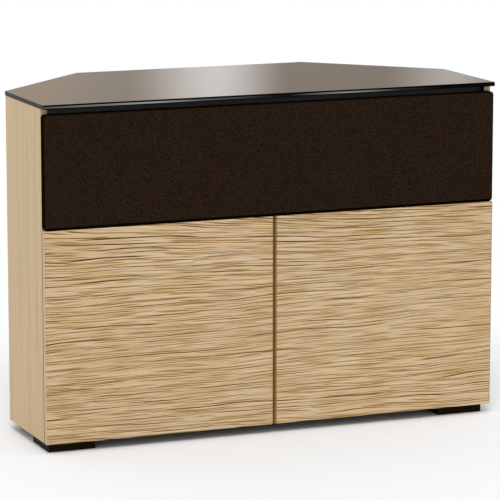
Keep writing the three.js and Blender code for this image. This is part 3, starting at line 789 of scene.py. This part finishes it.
def wrapped_cloth():
    """Cloth stretched over the front, rolled round the edges and turned in behind the frame."""
    low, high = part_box("grille_cloth")
    frame_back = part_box("grille_frame")[1].y
    half_x, half_z = high.x, (high.z - low.z) / 2
    middle_z = (high.z + low.z) / 2
    hem_y = frame_back + CLOTH_THICKNESS + HEM_AIR
    turns = quarter_turn(9)
    # The cloth's section, from the hem's edge to the front: inset from the outline, and y.
    section = [(HEM, hem_y), (HEM / 2, hem_y)]
    section += [
        (HEM_ROLL * (1 - math.sin(t)), hem_y - HEM_ROLL * (1 - math.cos(t))) for t in turns
    ]
    section += [(0, (hem_y + low.y) / 2)]
    section += [
        (CLOTH_EDGE * (1 - math.cos(t)), low.y + CLOTH_EDGE * (1 - math.sin(t))) for t in turns
    ]
    section += [(BOTTOM_SHADE, low.y)]
    section += [(inset * MM, low.y) for inset in (6.5, 12, 30, 60, 90)]
    bm = bmesh.new()
    rings = []
    for inset, y in section:
        radius = max(CLOTH_CORNER - inset, 0.6 * MM)
        ring = rounded_ring(half_x - inset, half_z - inset, radius, middle_z)
        rings.append([bm.verts.new((x, y, z)) for x, z in ring])
    bridge_rings(bm, rings)
    bm.faces.new(rings[-1])
    mesh = mesh_from(bm, "grille_wrap", smooth=True)
    shade_bends(mesh, low)
    cloth = new_piece("grille_wrap", mesh, "grille", "grille_fabric")
    thick = cloth.modifiers.new("thickness", "SOLIDIFY")
    thick.thickness = CLOTH_THICKNESS
    thick.offset = -1
    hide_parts("grille_cloth")


def swept_wire(bm, path, radius, sides=8):
    """A round wire through the points of path, which lies in one X and Y plane."""
    rings = []
    for index, point in enumerate(path):
        before, after = path[max(index - 1, 0)], path[min(index + 1, len(path) - 1)]
        along = (after - before).normalized()
        out = along.cross(Vector((0, 0, 1)))
        turns = [step / sides * math.tau for step in range(sides)]
        offsets = [out * math.cos(t) + Vector((0, 0, 1)) * math.sin(t) for t in turns]
        rings.append([bm.verts.new(point + offset * radius) for offset in offsets])
    bridge_rings(bm, rings)
    bm.faces.new(rings[0][::-1])
    bm.faces.new(rings[-1])
    return [vertex for ring in rings for vertex in ring]


def staple_row():
    """Wire staples, driven a little askew, that hold the turned-in cloth to the long bars."""
    low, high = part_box("grille_frame")
    surface = high.y + CLOTH_THICKNESS + HEM_AIR
    radius, half_crown, leg = 0.35 * MM, 5 * MM, 0.8 * MM
    bend = 0.9 * MM
    inset, margin, count = 10 * MM, 30 * MM, 18
    corner = [
        Vector((half_crown - bend + bend * math.sin(t), bend * math.cos(t), 0))
        for t in quarter_turn(4)
    ]
    shape = [Vector((-half_crown, -leg, 0))]
    shape += [Vector((-point.x, point.y, 0)) for point in reversed(corner)]
    shape += corner + [Vector((half_crown, -leg, 0))]
    bm = bmesh.new()
    for z in (low.z + inset, high.z - inset):
        for index in range(count):
            x = low.x + margin + (high.x - low.x - 2 * margin) * (index + 0.5) / count
            vertices = swept_wire(bm, shape, radius)
            askew = Matrix.Rotation(0.12 * math.sin(7.3 * index + z / MM), 4, "Y")
            place = Matrix.Translation((x, surface - bend + 2 * radius, z)) @ askew
            bmesh.ops.transform(bm, matrix=place, verts=vertices)
    new_piece("grille_staples", mesh_from(bm, "grille_staples", smooth=True), "grille", "nickel")


# ---- glass top ----------------------------------------------------------------------------------


def polished_glass():
    """The six-sided sheet: small arrises all round and a wider rounding above the front, painted
    black as a dark reflection.
    """
    low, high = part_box("glass_top")
    overhang = high.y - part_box("left_rear_panel")[1].y
    corner_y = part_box("left_side_panel")[1].y + overhang / 2
    back_x = abs(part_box("back_panel")[1].x) + overhang / 2
    outline = [
        (low.x, low.y),
        (high.x, low.y),
        (high.x, corner_y),
        (back_x, high.y),
        (-back_x, high.y),
        (low.x, corner_y),
    ]
    bm = bmesh.new()
    bottom = [bm.verts.new((x, y, low.z)) for x, y in outline]
    top = [bm.verts.new((x, y, high.z)) for x, y in outline]
    bridge_rings(bm, [bottom, top])
    bm.faces.new(bottom[::-1])
    bm.faces.new(top)
    front_edge = bm.edges.get((top[0], top[1]))
    others = [edge for edge in bm.edges if edge != front_edge]
    round_off = {"profile": 0.5, "affect": "EDGES"}
    bmesh.ops.bevel(bm, geom=[front_edge], offset=FRONT_ROUND, segments=6, **round_off)
    sharp = [edge for edge in others if edge.is_valid and edge.calc_face_angle(0) > 0.6]
    bmesh.ops.bevel(bm, geom=sharp, offset=ARRIS, segments=3, **round_off)
    mesh = mesh_from(bm, "polished_glass", smooth=True)
    finishes = ("smoked_glass", "glass_edge", "painted_dark_reflection")
    for polygon in mesh.polygons:
        normal = polygon.normal
        # The rounding above the front takes the painted dark reflection.
        if normal.y < -0.15 and normal.z > 0.12:
            finish = "painted_dark_reflection"
        elif abs(normal.z) < 0.6:
            finish = "glass_edge"
        else:
            finish = "smoked_glass"
        polygon.material_index = finishes.index(finish)
        polygon.use_smooth = abs(normal.z) < 0.999
    piece = new_piece("polished_glass", mesh, "cabinet", *finishes)
    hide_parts("glass_top")


# ---- fasteners ----------------------------------------------------------------------------------


def screw_mesh(name, radius, height):
    """A domed head with a cross recess, its flat underside at z = 0."""
    steps = 40
    slot_half, slot_reach = 0.14 * radius, 0.58 * radius
    turns = [step / steps * math.tau for step in range(steps)]

    def recess(turn):
        """Distance from the axis to the edge of the cross: the farther of its two bars' edges."""
        sine = max(abs(math.sin(turn)), 1e-6)
        cosine = max(abs(math.cos(turn)), 1e-6)
        return max(
            min(slot_half / sine, slot_reach / cosine),
            min(slot_half / cosine, slot_reach / sine),
        )

    bm = bmesh.new()
    dome = ((1.0, 0.0), (1.0, 0.3), (0.93, 0.62), (0.8, 0.86), (0.66, 1.0))
    rings = turned_rings(bm, [(radius * share, height * lift) for share, lift in dome], steps)
    for share, lift in ((1.0, 1.0), (0.94, 0.45), (0.5, 0.2)):
        reaches = [recess(t) * share for t in turns]
        star = [(reach * math.cos(t), reach * math.sin(t)) for reach, t in zip(reaches, turns)]
        rings.append([bm.verts.new((x, y, height * lift)) for x, y in star])
    bridge_rings(bm, rings)
    bm.faces.new(rings[0][::-1])
    bm.faces.new(rings[-1])
    return mesh_from(bm, name)


BACKWARDS = (0, 1, 0)


def put(name, mesh, place, axis, body, material):
    """A copy of a small piece whose own +Z is turned to axis, standing at place."""
    copy = mesh.copy()
    turn = Vector(axis).to_track_quat("Z", "Y").to_matrix().to_4x4()
    copy.transform(Matrix.Translation(place) @ turn)
    new_piece(name, copy, body, material)


def hinge_screws():
    """Two screws in each cup's flange, two in each mounting plate and two adjusters on each arm."""
    plate_screw = screw_mesh("plate_screw", 3.6 * MM, 1.5 * MM)
    cup_screw = screw_mesh("cup_screw", 3.2 * MM, 1.1 * MM)
    plate_thickness, arm_rise = 2 * MM, 14 * MM
    plate_shift, adjuster_shifts = 14 * MM, (0, 24 * MM)
    plate_lifts, cup_lifts = (-16 * MM, 16 * MM), (-24 * MM, 24 * MM)
    for side, way in SIDES.items():
        inwards = (-way, 0, 0)
        for place in HINGE_PLACES:
            hinge = f"{side}_{place}"
            arm_low, arm_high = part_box(f"{hinge}_hinge_arm")
            cup_low, cup_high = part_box(f"{hinge}_hinge_cup")
            middle_y = (arm_low.y + arm_high.y) / 2
            middle_z = (arm_low.z + arm_high.z) / 2
            panel_x = arm_low.x if way < 0 else arm_high.x
            plate_x, arm_x = panel_x - way * plate_thickness, panel_x - way * arm_rise
            for number, lift in enumerate(plate_lifts, 1):
                name = f"{hinge}_plate_screw_{number}"
                spot = (plate_x, middle_y + plate_shift, middle_z + lift)
                put(name, plate_screw, spot, inwards, "cabinet", "nickel")
            for number, shift in enumerate(adjuster_shifts, 1):
                name = f"{hinge}_adjuster_{number}"
                spot = (arm_x, middle_y + shift, middle_z)
                put(name, plate_screw, spot, inwards, "cabinet", "nickel")
            for number, lift in enumerate(cup_lifts, 1):
                name = f"{hinge}_cup_screw_{number}"
                spot = ((cup_low.x + cup_high.x) / 2, cup_high.y, middle_z + lift)
                put(name, cup_screw, spot, BACKWARDS, f"{side}_door", "nickel")


def back_screws():
    """Screws round the edge of the back, four to a side."""
    low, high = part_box("back_panel")
    head = screw_mesh("back_screw", 4.0 * MM, 1.0 * MM)
    inset = 10 * MM
    shares = (0, 1 / 3, 2 / 3, 1)
    ends = (shares[0], shares[-1])
    number = 0
    for up in shares:
        z = low.z + inset + (high.z - low.z - 2 * inset) * up
        for along in shares:
            x = low.x + inset + (high.x - low.x - 2 * inset) * along
            if up in ends or along in ends:
                number += 1
                spot = (x, high.y, z)
                put(f"back_screw_{number}", head, spot, BACKWARDS, "cabinet", "black_plastic")


def bumper_mesh():
    """A small silicone dome."""
    bm = bmesh.new()
    radius, height, steps = 2.4 * MM, 2.4 * MM, 20
    dome = ((1, 0), (1, 0.25), (0.93, 0.6), (0.7, 0.88), (0.35, 0.99))
    rings = turned_rings(bm, [(radius * share, height * lift) for share, lift in dome], steps)
    bridge_rings(bm, rings)
    bm.faces.new(rings[0][::-1])
    bm.faces.new(rings[-1])
    return mesh_from(bm, "bumper", smooth=True)


def door_bumpers():
    """Two bumpers inside each door, near its free edge, that meet the centre divider."""
    dome = bumper_mesh()
    from_free_edge, from_bottom, from_top = 3.4 * MM, 36 * MM, 44 * MM
    for side, way in SIDES.items():
        low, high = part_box(f"{side}_door_core")
        x = (high.x if way < 0 else low.x) + way * from_free_edge
        for place, z in (("lower", low.z + from_bottom), ("upper", high.z - from_top)):
            name = f"{side}_{place}_bumper"
            put(name, dome, (x, high.y, z), BACKWARDS, f"{side}_door", "clear_silicone")


STRIP_WIDTH = 1.7 * MM
STRIP_REACH = 1.6 * MM
STRIP_INSET = 0.15 * MM
STRIP_SHORT = 1 * MM
STRIP_ROUND = 0.5 * MM


def gap_shade_strips():
    """A black flocked strip down the front edge of each side panel, short of the door's swing: a
    dark piece for the shade in the gap.
    """
    for side, way in SIDES.items():
        low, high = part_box(f"{side}_side_panel")
        core_low, core_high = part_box(f"{side}_door_core")
        outer = (low.x if way < 0 else high.x) - way * STRIP_INSET
        inner = outer - way * STRIP_WIDTH
        left, right = sorted((outer, inner))
        bottom, top = core_low.z + STRIP_SHORT, core_high.z - STRIP_SHORT
        bm = bmesh.new()
        made = bmesh.ops.create_cube(bm, size=1)
        size = (right - left, STRIP_REACH, top - bottom)
        middle = ((left + right) / 2, low.y - STRIP_REACH / 2, (bottom + top) / 2)
        bmesh.ops.scale(bm, vec=size, verts=made["verts"])
        bmesh.ops.translate(bm, vec=middle, verts=made["verts"])
        along = [edge for edge in bm.edges if abs(edge.verts[0].co.z - edge.verts[1].co.z) > MM]
        front = [edge for edge in along if edge.verts[0].co.y < low.y - STRIP_REACH / 2]
        bmesh.ops.bevel(
            bm, geom=front, offset=STRIP_ROUND, segments=3, profile=0.5, affect="EDGES"
        )
        # A dark piece put in the gap between side panel and door, standing for the shade there.
        name = f"{side}_gap_shade_strip"
        new_piece(name, mesh_from(bm, name), "cabinet", "black_pile")


# ---- carried-over CAD nodes ---------------------------------------------------------------------


def finish_cad_nodes():
    """The material and edge rounding of every CAD node that stays visible."""
    finish_node("front_top_rail", "black_aluminium", 0.3 * MM)
    for name in ("top_panel", "mid_shelf", "bottom_panel", "centre_divider", "back_panel"):
        finish_node(name, "black_board", 0.5 * MM)
    finish_node("grille_frame", "black_board", 0.5 * MM)
    finish_node("speaker_cable_grommet", "black_plastic", 0.4 * MM)
    for side in SIDES:
        finish_node(f"{side}_side_panel", "oak_panel", 0.6 * MM)
        finish_node(f"{side}_rear_panel", "oak_panel", 0.6 * MM)
        finish_node(f"{side}_adjustable_shelf", "black_board", 0.6 * MM)
        finish_node(f"{side}_door_core", "door_core_oak", 0.4 * MM)
        finish_node(f"{side}_strike_disc", "nickel", 0.2 * MM)
        finish_node(f"{side}_latch_housing", "black_plastic", 0.6 * MM)
        finish_node(f"{side}_latch_plunger", "black_plastic", 0.6 * MM)
        finish_node(f"{side}_cable_grommet", "black_plastic", 0.4 * MM)
        for place in ("front", "rear"):
            finish_node(f"{side}_{place}_foot", "espresso_wood", 0.8 * MM, 3)
        for place in ("outer_front", "outer_rear", "inner_front", "inner_rear"):
            finish_node(f"{side}_shelf_pin_{place}", "nickel", 0.3 * MM)
        for place in HINGE_PLACES:
            finish_node(f"{side}_{place}_hinge_cup", "nickel", 0.25 * MM)
            finish_node(f"{side}_{place}_hinge_link", "nickel", 0.25 * MM)
            finish_node(f"{side}_{place}_hinge_arm", "nickel", 0.5 * MM)
            finish_node(f"{side}_{place}_grille_stud", "nickel", 0.15 * MM)
            finish_node(f"{side}_{place}_grille_socket", "black_plastic", 0.2 * MM)


make_camera()
make_world()
make_floor()
make_key()
make_softbox()

finish_cad_nodes()
for door_side in SIDES:
    carved_front(door_side)
wrapped_cloth()
staple_row()
polished_glass()
hinge_screws()
back_screws()
door_bumpers()
gap_shade_strips()
